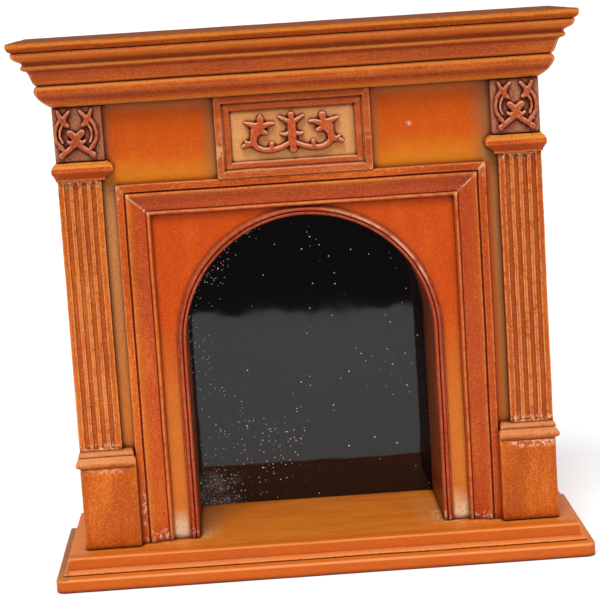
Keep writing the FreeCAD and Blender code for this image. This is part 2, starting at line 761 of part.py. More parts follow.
def cornice_front(name, section):
    high = section[-1][1]
    low = section[0][1]
    length = (CORNICE_HALF + CORNICE_REACH) * 2
    body = new_body(f"{name}_front", x=-length / 2)
    outline = [(FACE, low)] + [(CORNICE_FACE - reach, up) for reach, up in section] + [(FACE, high)]
    pad(body, draw_outline(new_sketch(body, f"{name}_front_section", "YZ_Plane"), outline), length)
    for side, sign in SIDES:
        centre = length / 2
        behind, beyond = 4, CORNICE_REACH + 1
        mitre = [
            (centre + sign * (CORNICE_HALF - behind), CORNICE_FACE + behind),
            (centre + sign * (CORNICE_HALF + beyond), CORNICE_FACE - beyond),
            (centre + sign * (CORNICE_HALF + beyond), CORNICE_FACE + behind),
        ]
        sketch = draw_outline(new_sketch(body, f"{name}_front_mitre_{side}", "XY_Plane"), mitre)
        pocket(body, sketch, backwards=True)


def cornice_return(name, section, side, sign):
    high = section[-1][1]
    low = section[0][1]
    body = new_body(f"{name}_return_{side}", y=BACK)
    outline = [(sign * BODY_HALF, low)]
    outline += [(sign * (CORNICE_HALF + reach), up) for reach, up in section]
    outline += [(sign * BODY_HALF, high)]
    sketch = draw_outline(new_sketch(body, f"{name}_return_section_{side}", "XZ_Plane"), outline)
    pad(body, sketch, dim.shelfDepth)
    behind, beyond = 4, CORNICE_REACH + 1
    face = CORNICE_FACE - BACK
    mitre = [
        (sign * (CORNICE_HALF - behind), face + behind),
        (sign * (CORNICE_HALF + beyond), face - beyond),
        (sign * (CORNICE_HALF - behind), face - beyond),
    ]
    sketch = draw_outline(new_sketch(body, f"{name}_return_mitre_{side}", "XY_Plane"), mitre)
    pocket(body, sketch, backwards=True)


def mantel_shelf():
    half = dim.shelfWidth / 2
    body = new_body("mantel_shelf", z=UNDER_SHELF)
    corners = rectangle(-half, half, BACK - dim.shelfDepth, BACK)
    base = pad(body, draw_outline(new_sketch(body, "shelf_plan", "XY_Plane"), corners), dim.shelfThick)
    for name, level, radius in (("Nosing", 0, dim.shelfUnder), ("TopEdge", dim.shelfThick.number, dim.shelfRound)):
        rounds = []
        for number, edge in enumerate(base.Shape.Edges, start=1):
            box = edge.BoundBox
            at_back = abs(box.YMin - BACK.number) < NEAR
            if not at_back and abs(box.ZMin - level) < NEAR and abs(box.ZMax - level) < NEAR:
                rounds.append(f"Edge{number}")
        base = fillet(body, name, base, rounds, radius)


# ---- assembly ----

hearth_base_board()
hearth_top_board()
front_board()
top_board()
back_board()
firebox_pane()
arch_liner()
filler_joint, crown_joint, left_joint = BEAD_JOINTS
bead_leg_and_curve("bead_left", -1, 180 - left_joint)
bead_curve("bead_crown", crown_joint, left_joint - crown_joint)
bead_curve("bead_filler", filler_joint, crown_joint - filler_joint)
bead_leg_and_curve("bead_right", 1, filler_joint)
architrave_head()
tablet_backing()
tablet_rail("bottom", TABLET_LOW, 1)
tablet_rail("top", TABLET_HIGH, -1)
tablet_carving()
for moulding, its_section in (("bed_moulding", bed_section()), ("crown_moulding", crown_section())):
    cornice_front(moulding, its_section)
    for which, direction in SIDES:
        cornice_return(moulding, its_section, which, direction)
mantel_shelf()
for which, direction in SIDES:
    side_board(which, direction)
    architrave_leg(which, direction)
    plinth_block(which, direction)
    base_moulding(which, direction)
    fluted_shaft(which, direction)
    capital_moulding(which, direction)
    corner_block(which, direction)
    corner_carving(which, direction)
    tablet_stile(which, direction)

doc.recompute()
for item in doc.Objects:
    if "Invalid" in item.State or "Error" in item.State:
        raise RuntimeError(f"{item.Label} failed: {item.State}")
for body in bodies:
    if body.Shape.isNull() or not body.Shape.isValid():
        raise RuntimeError(f"{body.Label} has no valid shape")
    body.Shape.exportStep(f"parts/{body.Label}.step")
    print(f"{body.Label:26s} {body.Shape.Volume:10.1f} mm3, {len(body.Shape.Solids)} solid")
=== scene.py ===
import bpy
import math
from mathutils import Euler, Matrix, Vector


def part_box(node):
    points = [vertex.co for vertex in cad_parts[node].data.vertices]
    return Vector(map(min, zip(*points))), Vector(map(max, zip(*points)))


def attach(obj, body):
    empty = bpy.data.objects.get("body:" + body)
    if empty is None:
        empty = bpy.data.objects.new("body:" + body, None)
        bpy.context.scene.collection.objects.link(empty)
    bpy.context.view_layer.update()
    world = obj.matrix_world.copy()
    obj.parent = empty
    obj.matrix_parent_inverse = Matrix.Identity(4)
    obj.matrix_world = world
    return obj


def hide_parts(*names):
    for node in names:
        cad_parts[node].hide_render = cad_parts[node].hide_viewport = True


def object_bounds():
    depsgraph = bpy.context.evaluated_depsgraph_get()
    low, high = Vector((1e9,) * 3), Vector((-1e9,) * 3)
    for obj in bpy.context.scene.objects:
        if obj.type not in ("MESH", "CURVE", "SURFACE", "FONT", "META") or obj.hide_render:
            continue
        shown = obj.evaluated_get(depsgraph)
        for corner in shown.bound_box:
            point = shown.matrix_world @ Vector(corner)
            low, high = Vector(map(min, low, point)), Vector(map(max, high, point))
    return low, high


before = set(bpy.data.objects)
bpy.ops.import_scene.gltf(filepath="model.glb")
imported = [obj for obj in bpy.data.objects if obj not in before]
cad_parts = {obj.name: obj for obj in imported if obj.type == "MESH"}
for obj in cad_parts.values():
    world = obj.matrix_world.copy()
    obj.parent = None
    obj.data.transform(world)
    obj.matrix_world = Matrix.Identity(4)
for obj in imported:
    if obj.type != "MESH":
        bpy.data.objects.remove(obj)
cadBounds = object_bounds()
print("frame loaded:", len(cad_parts), "pieces")

mm = 0.001
white = (1, 1, 1, 1)
scene = bpy.context.scene
lowCorner, highCorner = Vector(cadBounds[0]), Vector(cadBounds[1])


class Wire:
    # one socket of a material's nodes, with arithmetic that adds Math nodes
    def __init__(self, tree, socket=None):
        self.tree = tree
        self.socket = socket

    def node(self, kind, settings=None, sockets=None, out=0):
        made = self.tree.nodes.new("ShaderNode" + kind)
        for name, value in (settings or {}).items():
            if name == "stops":
                setStops(made.color_ramp, value)
            else:
                setattr(made, name, value)
        for name, value in (sockets or {}).items():
            if isinstance(value, Wire):
                self.tree.links.new(value.socket, made.inputs[name])
            else:
                made.inputs[name].default_value = value
        return Wire(self.tree, made.outputs[out])

    def maths(self, operation, first, second=0.0):
        return self.node("Math", {"operation": operation}, {0: first, 1: second})

    def __add__(self, other):
        return self.maths("ADD", self, other)

    def __sub__(self, other):
        return self.maths("SUBTRACT", self, other)

    def __rsub__(self, other):
        return self.maths("SUBTRACT", other, self)

    def __mul__(self, other):
        return self.maths("MULTIPLY", self, other)

    def __abs__(self):
        return self.maths("ABSOLUTE", self)

    def least(self, other):
        return self.maths("MINIMUM", self, other)

    def most(self, other):
        return self.maths("MAXIMUM", self, other)

    def rise(self, low, high):
        # 0 below low and 1 above high, or the other way round when low is the larger
        return self.node("MapRange", {"interpolation_type": "SMOOTHSTEP"},
                         {"Value": self, "From Min": low, "From Max": high})

    def between(self, low, high, soft):
        # 1 from low to high, fading over twice soft at each end
        return self.rise(low - soft, low + soft) * self.rise(high + soft, high - soft)


def setStops(ramp, stops):
    while len(ramp.elements) < len(stops):
        ramp.elements.new(1.0)
    for element, (place, colour) in zip(ramp.elements, stops):
        element.position = place
        element.color = colour


def paint(hexColour):
    # a screen colour such as "CC5A14" as the linear colour that shaders take
    parts = [int(hexColour[n:n + 2], 16) / 255 for n in (0, 2, 4)]
    return tuple([p / 12.92 if p < 0.04045 else ((p + 0.055) / 1.055) ** 2.4 for p in parts] + [1.0])


def mixed(under, over, mask):
    return mask.node("Mix", {"data_type": "RGBA"}, {"Factor": mask, 6: under, 7: over}, out=2)


def tinted(colour, hexColour, strength, mask):
    return mixed(colour, paint(hexColour), mask if strength == 1 else mask * strength)


class Look:
    # a new material's tree, with the surface's place in millimetres
    def __init__(self, name):
        self.material = bpy.data.materials.new(name)
        self.material.use_nodes = True
        tree = self.material.node_tree
        tree.nodes.clear()
        self.start = Wire(tree)
        coordinates = self.start.node("TexCoord", out="Object")
        self.place = self.start.node("VectorMath", {"operation": "SCALE"}, {0: coordinates, "Scale": 1 / mm})
        split = self.place.node("SeparateXYZ", None, {0: self.place})
        outputs = split.socket.node.outputs
        self.x, self.y, self.z = [Wire(tree, outputs[n]) for n in range(3)]

    def noise(self, cells, detail=2.0, rough=0.5, shift=0.0, warp=0.0):
        # cells is the pattern's cells per millimetre, alike all ways or along x, y and z
        stretch = cells if isinstance(cells, tuple) else (cells, cells, cells)
        aside = (shift, shift * 0.7, shift * 1.3)  # keeps one pattern clear of another
        point = self.start.node("VectorMath", {"operation": "MULTIPLY"}, {0: self.place, 1: stretch})
        point = self.start.node("VectorMath", {"operation": "ADD"}, {0: point, 1: aside})
        sockets = {"Vector": point, "Scale": 1.0, "Detail": detail, "Roughness": rough, "Distortion": warp}
        return self.start.node("TexNoise", None, sockets)

    def specks(self, cells, low, high):
        # small round spots, and a random number for each spot's cell
        spot = self.start.node("TexVoronoi", None, {"Vector": self.place, "Scale": cells})
        pick = self.start.node("TexVoronoi", None, {"Vector": self.place, "Scale": cells}, out="Color")
        share = self.start.node("SeparateXYZ", None, {0: pick})
        return spot.rise(high, low), share

    def hollows(self, reach, low, high):
        # 1 in the quirks and corners, where painted shade goes along with the stain that gathers there
        return self.closeness({"samples": 8}, reach, low, high)

    def arrises(self, reach, low, high):
        # 1 along outside edges, where the stain is rubbed thin and a painted highlight goes
        return self.closeness({"samples": 8, "inside": True, "only_local": True}, reach, low, high)

    def closeness(self, settings, reach, low, high):
        shade = self.start.node("AmbientOcclusion", settings, {"Distance": reach * mm}, out="AO")
        return shade.rise(high, low)

    def facing(self):
        # how far the surface looks up, from -1 to 1
        geometry = self.start.node("NewGeometry", out="Normal")
        return self.start.node("SeparateXYZ", None, {0: geometry}, out="Z")

    def inBox(self, low, high, soft):
        # 1 inside a box in millimetres, fading over soft millimetres at its sides
        sides = [value.between(first, last, soft / 2)
                 for value, first, last in zip((self.x, self.y, self.z), low, high)]
        return sides[0] * sides[1] * sides[2]

    def residue(self, colour, boxes, tint="EAD6BE", cells=1.3, cut=0.54):
        # dried glue and filler: broken pale patches inside each box, fewer where cut is higher
        soft, cutWidth = 1.2, 0.08
        broken = self.noise(cells, 4.0, 0.65, shift=71.0)
        for low, high, strength in boxes:
            mask = self.inBox(low, high, soft) * broken.rise(cut, cut + cutWidth)
            colour = tinted(colour, tint, strength, mask)
        return colour

    def finish(self, colour, roughness, bump, depth, coat=0.0, shine=0.5):
        raised = self.start.node("Bump", None, {"Strength": 1.0, "Distance": depth * mm, "Height": bump})
        sockets = {"Base Color": colour, "Roughness": roughness, "Normal": raised,
                   "Coat Weight": coat, "Coat Roughness": 0.2, "Specular IOR Level": shine}
        shader = self.start.node("BsdfPrincipled", None, sockets)
        tree = self.material.node_tree
        output = tree.nodes.new("ShaderNodeOutputMaterial")
        tree.links.new(shader.socket, output.inputs["Surface"])
        return self.material


# the common stain with its painted shade and highlights; reaches are in millimetres, cells per millimetre,
# and pairs are the ends of a fade
stain = {
    "deep": "9A3A0C", "base": "C4500F", "pale": "DE7A22",
    "grain": "z", "fine": 3.4, "along": 0.12, "contrast": 0.8, "broadCells": (0.3, 0.07),
    "streakTone": 0.55, "broadTone": 0.55, "gritTone": 0.6, "stops": (0.2, 0.5, 0.8),
    # under is painted shade on faces that look down, up a painted highlight on faces that look up, arris
    # pale edges that are partly wear and partly painted highlight, and hollow and rim painted shade in
    # hollows and at the foot of raised parts
    "under": "8C2C0A", "underShadeAmount": 0.6, "underShadeFacing": (-0.08, -0.7),
    "up": "DA8A4A", "upAmount": 0.5, "upLightFacing": (0.15, 0.8),
    "pebble": 0.26, "pebbleDark": (0.5, 0.3), "pebblePale": (0.52, 0.72),
    "arris": "EC9C5C", "arrisAmount": 0.65, "arrisReach": 0.45, "arrisRange": (0.6, 0.95),
    "arrisPatches": (0.3, 0.55),
    "hollow": "5A1606", "hollowAmount": 0.9, "hollowReach": 1.3, "hollowRange": (0.36, 0.92),
    "rim": "3E0E04", "rimAmount": 0.5, "rimReach": 0.3, "rimRange": (0.45, 0.86),
    "streakHeight": 0.6, "lumpHeight": 2.0, "gritHeight": 0.5, "depth": 0.045,
    "rough": 0.4, "roughSpread": 0.3, "hollowRough": 0.15, "coat": 0.04, "shine": 0.13,
}


def grainStretch(axis, across, along):
    return tuple(along if axis == name else across for name in "xyz")


def stainedWood(name, extra, changes):
    look = {**stain, **changes}
    make = Look(name)
    streaks = make.noise(grainStretch(look["grain"], look["fine"], look["fine"] * look["along"]), 2.0, 0.6)
    broad = make.noise(grainStretch(look["grain"], *look["broadCells"]), 2.0, 0.5, shift=31.0)
    grit = make.noise(4.0, 2.0, 0.6, shift=57.0)
    tone = (streaks - 0.5) * look["streakTone"] * look["contrast"] + (broad - 0.5) * look["broadTone"]
    tone = tone + (grit - 0.5) * look["gritTone"] + 0.5
    stops = [(place, paint(look[name])) for place, name in zip(look["stops"], ("deep", "base", "pale"))]
    colour = tone.node("ValToRGB", {"stops": stops}, {0: tone})
    if extra:
        colour = extra(make, colour)
    # painted shade under ledges and in hollows, where some stain also pools; edges pale where the stain is
    # rubbed thin and as painted highlight; painted highlight where a surface looks up
    facing = make.facing()
    broken = make.noise(0.9, 3.0, 0.6, shift=11.0)
    colour = tinted(colour, look["under"], look["underShadeAmount"], facing.rise(*look["underShadeFacing"]))
    colour = tinted(colour, look["up"], look["upAmount"], facing.rise(*look["upLightFacing"]) * (broken + 0.25))
    colour = tinted(colour, look["deep"], look["pebble"], grit.rise(*look["pebbleDark"]))
    colour = tinted(colour, look["arris"], look["pebble"], grit.rise(*look["pebblePale"]))
    edgeWearAndHighlight = make.arrises(look["arrisReach"], *look["arrisRange"]) * broken.rise(*look["arrisPatches"])
    colour = tinted(colour, look["arris"], look["arrisAmount"], edgeWearAndHighlight)
    hollow = make.hollows(look["hollowReach"], *look["hollowRange"])
    colour = tinted(colour, look["hollow"], look["hollowAmount"], hollow)
    # painted shade: a thin dark line where a raised part meets the ground
    rim = make.hollows(look["rimReach"], *look["rimRange"])
    colour = tinted(colour, look["rim"], look["rimAmount"], rim)
    lumps = make.noise(0.7, 2.0, 0.5, shift=5.0)
    height = streaks * look["streakHeight"] + lumps * look["lumpHeight"] + grit * look["gritHeight"]
    spread = look["roughSpread"]
    rough = (grit - 0.5) * spread + (broad - 0.5) * spread + look["rough"] + hollow * look["hollowRough"]
    return make.finish(colour, rough, height, look["depth"], look["coat"], look["shine"])


# each band's lower and upper height in millimetres, and its strength
cornice = {
    "ridge": "E27E2A", "ridgeSoft": 0.12, "quirk": "84290A", "quirkSoft": 0.1, "waver": 0.3,
    "ridges": [(91.3, 92.4, 1.0), (94.0, 94.4, 0.3), (94.85, 95.5, 0.7), (96.0, 96.5, 0.35),
               (98.95, 99.5, 0.7), (100.75, 101.8, 0.8)],
    "quirkShades": [(92.9, 93.6, 0.7), (95.6, 95.9, 0.6), (98.2, 98.85, 0.8), (99.6, 100.4, 0.7),
               (101.95, 102.5, 0.7)],
}


def cornicePaint(make, colour):
    # painted highlight bands along the ridges and painted shade bands in the quirks
    cloud = make.noise(0.3, 3.0, 0.6, shift=91.0)
    height = make.z + (cloud - 0.5) * cornice["waver"]
    # painted highlight on each ridge
    for low, high, strength in cornice["ridges"]:
        band = height.between(low, high, cornice["ridgeSoft"])
        colour = tinted(colour, cornice["ridge"], strength, band * (cloud * 0.7 + 0.45))
    # painted shade in each quirk
    for low, high, strength in cornice["quirkShades"]:
        colour = tinted(colour, cornice["quirk"], strength, height.between(low, high, cornice["quirkSoft"]))
    return colour


shelf = {"edge": ("E0842C", 0.6), "edgeRange": (102.85, 103.75), "edgeSoft": 0.12}


def shelfPaint(make, colour):
    # a painted highlight along the shelf's front edge
    return tinted(colour, *shelf["edge"], make.z.between(*shelf["edgeRange"], shelf["edgeSoft"]))


# each tint with its strength; number pairs are the ends of a fade in mm, and it is full at the second
panel = {
    "cloudShift": 3.0, "gritShift": 1.2,
    "arch": ("C8450A", 1), "archTop": (76.3, 75.3), "archSide": (35.6, 35.0),
    "low": ("D2701E", 0.6), "lowTop": (52, 12),
    "leg": ("C88230", 1), "legSides": (26.0, 29.2), "legSoft": 0.4, "legTop": (50, 30),
    "foot": ("ECD6AE", 0.95), "footSide": (25.8, 26.6), "footTop": (12.5, 7.0),
    "strip": ("D08436", 1), "stripSides": ((34.9, 35.5), (42.6, 42.0)), "stripTop": (78.0, 76.0),
    "stripHaze": ("CCA06A", 0.8), "stripHazeRise": (20, 74), "stripShade": ("7E5428", 1),
    "lip": ("C2521C", 0.85), "lipSides": (35.0, 36.5), "lipSoft": 0.12,
    "frieze": ("CE560A", 0.8), "friezeFoot": (75.6, 76.2),
    "yellow": ("D8821C", 0.85), "yellowTop": (83.0, 76.5),
    "grime": ("8C7048", 1), "grimeShift": 0.6, "grimeTop": (88.6, 91.8), "grimeTopShare": 0.9,
    "grimeEnds": (34.6, 37.4), "grimeMiddle": (16.2, 14.4), "grimeEndsShare": 0.65,
    "grimeRight": (32.4, 36.6), "grimeByTablet": (-19.0, -15.6),
    "chip": ("F4E8D0", 1), "chipBox": ((20.9, -8, 83.8), (21.7, 0, 84.3)), "chipSoft": 0.9,
    "feet": [((-36, -8, 5.4), (-23, 0, 8.0), 0.7), ((23, -8, 5.4), (36, 0, 8.4), 0.8)],
}


def panelPaint(make, colour):
    # red-orange round the arch, tan strips beside the shafts, and the frieze fading to yellow and grey
    cloud = make.noise(0.22, 2.0, 0.5, shift=19.0)
    grit = make.noise(3.4, 2.0, 0.6, shift=23.0)
    shift = (cloud - 0.5) * panel["cloudShift"] + (grit - 0.5) * panel["gritShift"]
    across = abs(make.x)
    arch = make.z.rise(*panel["archTop"]) * across.rise(*panel["archSide"])
    colour = tinted(colour, *panel["arch"], arch * (cloud * 0.5 + 0.35))
    colour = tinted(colour, *panel["low"], arch * (make.z + shift).rise(*panel["lowTop"]))

    belowFrieze = make.z.rise(*panel["stripTop"])
    inner, outer = panel["stripSides"]
    strip = across.rise(*inner) * across.rise(*outer) * belowFrieze
    colour = tinted(colour, *panel["strip"], strip * (grit * 0.5 + 0.4))
    haze = strip * (make.z + shift * 3.0).rise(*panel["stripHazeRise"]) * grit.rise(0.3, 0.6)
    colour = tinted(colour, *panel["stripHaze"], haze)
    rightStrip = strip * make.x.rise(0, 1)
    colour = tinted(colour, *panel["stripShade"], rightStrip * (grit * 0.5 + 0.3))
    lip = make.x.between(*panel["lipSides"], panel["lipSoft"]) * belowFrieze
    colour = tinted(colour, *panel["lip"], lip)

    frieze = make.z.rise(*panel["friezeFoot"])
    colour = tinted(colour, *panel["frieze"], frieze)
    colour = tinted(colour, *panel["yellow"], frieze * (make.z + shift).rise(*panel["yellowTop"]))
    apart, sideways, up = [value + shift * panel["grimeShift"] for value in (across, make.x, make.z)]
    byTablet = sideways.rise(*panel["grimeByTablet"]) * make.x.rise(0, -1)
    ends = apart.rise(*panel["grimeEnds"]).most(apart.rise(*panel["grimeMiddle"]))
    sides = sideways.rise(*panel["grimeRight"]).most(byTablet).most(ends * panel["grimeEndsShare"])
    grime = frieze * sides.most(up.rise(*panel["grimeTop"]) * panel["grimeTopShare"])
    colour = tinted(colour, *panel["grime"], grime * (grit.rise(0.3, 0.66) * 0.6 + 0.35))
    chip = make.inBox(*panel["chipBox"], panel["chipSoft"]) * grit.rise(0.44, 0.56)
    colour = tinted(colour, *panel["chip"], chip)

    leg = arch * across.between(*panel["legSides"], panel["legSoft"])
    leg = leg * (make.z + shift).rise(*panel["legTop"]) * grit.rise(0.25, 0.75)
    colour = tinted(colour, *panel["leg"], leg * (cloud + 0.3))
    foot = arch * across.rise(*panel["footSide"]) * (make.z + shift * 1.2).rise(*panel["footTop"])
    colour = tinted(colour, *panel["foot"], foot * grit.rise(0.3, 0.5))
    return make.residue(colour, panel["feet"], cut=0.53)


# fades measured inwards from the moulding's outer edges, in millimetres
architrave = {
    "side": 35.3, "top": 75.9,
    "red": ("B43E26", 0.6), "redFades": ((3.0, 4.4), (5.6, 5.0)), "redRise": (10, 46),
    "ridge": ("D0701C", 0.8), "ridgeFades": ((1.5, 2.0), (3.2, 2.4)),
    "rightSide": ("A03812", 0.5), "rightFade": (24, 29),
    "mitre": ("F2C6A0", 0.9), "mitreWidth": (0.42, 0.12), "mitreFoot": (68.8, 69.4),
    "residue": [((-37, -12, 5.4), (-23, -4, 8.0), 0.8), ((23, -12, 5.4), (36, -4, 7.2), 0.8),
                ((-34.6, -12, 5.4), (-34.0, -4, 17), 0.9), ((-36.2, -12, 72), (-34.6, -4, 76.5), 0.4),
                ((34.6, -12, 73), (36.5, -4, 76.5), 0.4)],
}


def architravePaint(make, colour):
    # redder painted shade in the cove, a painted highlight along the ridge, painted shade down the right
    # side, filler along the mitres, and residue at the feet
    cloud = make.noise(0.5, 3.0, 0.6, shift=37.0)
    fromSide, fromTop = architrave["side"] - abs(make.x), architrave["top"] - make.z
    inwards = fromSide.least(fromTop)
    rising, falling = architrave["redFades"]
    # painted shade in the cove, only higher up
    red = inwards.rise(*rising) * inwards.rise(*falling) * (cloud + 0.2)
    colour = tinted(colour, *architrave["red"], red * make.z.rise(*architrave["redRise"]))
    rising, falling = architrave["ridgeFades"]
    # painted highlight along the ridge
    colour = tinted(colour, *architrave["ridge"], inwards.rise(*rising) * inwards.rise(*falling) * cloud)
    # painted shade down the right side
    colour = tinted(colour, *architrave["rightSide"], make.x.rise(*architrave["rightFade"]))
    mitre = abs(fromSide - fromTop).rise(*architrave["mitreWidth"]) * make.z.rise(*architrave["mitreFoot"])
    colour = tinted(colour, *architrave["mitre"], mitre * cloud.rise(0.36, 0.5))
    return make.residue(colour, architrave["residue"], cut=0.52)


# a line has a colour and strength, a fade along y, and a fade or a softened band along z, in millimetres
hearth = {
    "top": (5.3, 5.5), "redLine": ("8E2C08", 0.95), "redLineSides": (-14.5, -12.2), "redLineSoft": 0.6,
    "edge": ("AC460C", 0.75), "edgeFront": (-14.9, -15.1),
    # the pale lines are painted highlights along the arrises, the dark line above the tread's foot is
    # painted shade, and the last darkens the lower slab towards its bottom
    "lines": [("F4A868", 0.8, (-14.7, -14.9), (5.45, 5.55)),
              ("7E2A08", 0.9, (-14.9, -15.1), (3.45, 3.75, 0.12)),
              ("E89258", 0.8, (-15.2, -15.6), (2.9, 3.25, 0.1)),
              ("F2A870", 0.8, (-18.2, -18.5), (2.1, 2.3)),
              ("9A3C10", 0.7, (-18.2, -18.5), (1.0, 0.1))],
    "leftEnd": ("5C3510", 1), "leftEndSide": (-49.1, -49.5), "leftEndRise": (2.3, 2.5),
    "front": ("CC5E16", 0.45), "frontFade": (-9, -14),
    "haze": ("D49A66", 0.5), "hazeRight": ((19, -8, 5), (26, 12, 6.2), 3.0),
    "hazeLeft": ((-26, -8, 5), (-20, 12, 6.2), 2.0),
    "residue": [((-26, -6.6, 5.0), (-22, 1, 6.2), 0.75), ((22, -8, 5.0), (27, 2, 6.2), 0.8),
                ((-37, -9.6, 5.0), (-26, -7.8, 6.2), 0.4), ((27, -9.6, 5.0), (36, -7.8, 6.2), 0.5),
                ((-47, -10.9, 5.4), (-37, -10.2, 6.0), 0.7), ((36, -10.9, 5.4), (47, -10.2, 6.0), 0.8)],
}


def hearthPaint(make, colour):
    # a red line behind the moulded edge, darker front faces, painted highlights along the arrises with a
    # painted shade line above the tread's foot, and painted shadow over the left end
    redLine = make.z.rise(*hearth["top"]) * make.y.between(*hearth["redLineSides"], hearth["redLineSoft"])
    colour = tinted(colour, *hearth["redLine"], redLine)
    colour = tinted(colour, *hearth["edge"], make.y.rise(*hearth["edgeFront"]))
    for tint, strength, front, level in hearth["lines"]:
        height = make.z.between(*level) if len(level) == 3 else make.z.rise(*level)
        colour = tinted(colour, tint, strength, make.y.rise(*front) * height)
    # painted shadow over the left end
    leftEnd = make.x.rise(*hearth["leftEndSide"]) * make.z.rise(*hearth["leftEndRise"])
    colour = tinted(colour, *hearth["leftEnd"], leftEnd)
    colour = tinted(colour, *hearth["front"], make.y.rise(*hearth["frontFade"]))
    haze = make.inBox(*hearth["hazeRight"]).most(make.inBox(*hearth["hazeLeft"]))
    colour = tinted(colour, *hearth["haze"], haze)
    return make.residue(colour, hearth["residue"], tint="ECBE92", cut=0.48)


shaft = {"speck": ("F0DAC4", 0.8), "speckCells": 1.7, "speckSize": (0.09, 0.2), "speckShare": (0.86, 0.9),
         "filler": ("F0CCA4", 0.8), "foot": (26.4, 25.4), "top": (75.6, 76.6),
         "rightSide": ("A4400F", 0.5), "rightFade": (20, 34)}


def shaftPaint(make, colour):
    # white specks, painted shade down the right side, and blobs of filler left in the ends of the flutes
    spot, share = make.specks(shaft["speckCells"], *shaft["speckSize"])
    colour = tinted(colour, *shaft["speck"], spot * share.rise(*shaft["speckShare"]))
    # painted shade down the right side
    colour = tinted(colour, *shaft["rightSide"], make.x.rise(*shaft["rightFade"]))
    ends = make.z.rise(*shaft["foot"]).most(make.z.rise(*shaft["top"]))
    lumps = make.noise(1.4, 2.0, 0.5, shift=43.0).rise(0.5, 0.6)
    return tinted(colour, *shaft["filler"], ends * lumps)


plinthResidue = [((-45, -12, 20.7), (-38, -9.4, 21.6), 0.5), ((37, -12, 20.4), (46, -9.4, 21.6), 0.8)]


def plinthPaint(make, colour):
    return make.residue(colour, plinthResidue, tint="F0C0A4", cells=1.8, cut=0.49)


# the height of the arch's centre, and the radius that the gleam starts from; its fades are squared
bead = {"centre": 43.8, "gleam": ("F0BCA0", 0.7), "gleamFrom": 24.6, "gleamFades": ((8, 22), (52, 34)),
        "gleamAcross": (2, 8), "gleamUp": (50, 56),
        "feet": [((-27, -12, 5.4), (-23, -4, 7.6), 0.8), ((23, -12, 5.4), (27, -4, 7.6), 0.8)]}


def radiusSquared(make):
    up = make.z - bead["centre"]
    return make.x * make.x + up * up


def beadPaint(make, colour):
    # a pale gleam where the round turns over at the upper right
    cloud = make.noise(0.5, 3.0, 0.6, shift=61.0)
    gleam = make.x.rise(*bead["gleamAcross"]) * make.z.rise(*bead["gleamUp"])
    outwards = radiusSquared(make) - bead["gleamFrom"] * bead["gleamFrom"]
    rising, falling = bead["gleamFades"]
    ridge = outwards.rise(*rising) * outwards.rise(*falling)
    colour = tinted(colour, *bead["gleam"], gleam * ridge * cloud.rise(0.3, 0.6))
    return make.residue(colour, bead["feet"], cut=0.52)


tablet = {
    "chips": [((-15.2, -12, 81.0), (-14.0, -4, 87.4), 0.6), ((12.6, -12, 82.0), (13.9, -4, 83.6), 0.7)],
    "bruise": [((-15.9, -12, 79.6), (-14.4, -4, 82.2), 0.9)],
    "ground": ("D8965C", 0.8), "groundBox": ((-13.2, -12, 79.0), (11.4, 0, 88.9), 0.8),
    "shade": ("8E5A3C", 0.45), "shadeTop": (87.4, 88.8), "shadeRight": (9.2, 10.8),
}


def tabletPaint(make, colour):
    # filler left in the stiles' grooves, and a bruise on the left stile
    colour = make.residue(colour, tablet["chips"], tint="D08458", cells=1.0, cut=0.44)
    return make.residue(colour, tablet["bruise"], tint="D8A06C", cut=0.42)


def tabletGroundPaint(make, colour):
    inside = make.inBox(*tablet["groundBox"])
    grit = make.noise(1.2, 3.0, 0.6, shift=29.0)
    colour = tinted(colour, *tablet["ground"], inside * grit.rise(0.3, 0.6))
    # painted shadow below the top rail and beside the right stile
    shade = inside * make.z.rise(*tablet["shadeTop"]).most(make.x.rise(*tablet["shadeRight"]))
    return tinted(colour, *tablet["shade"], shade)
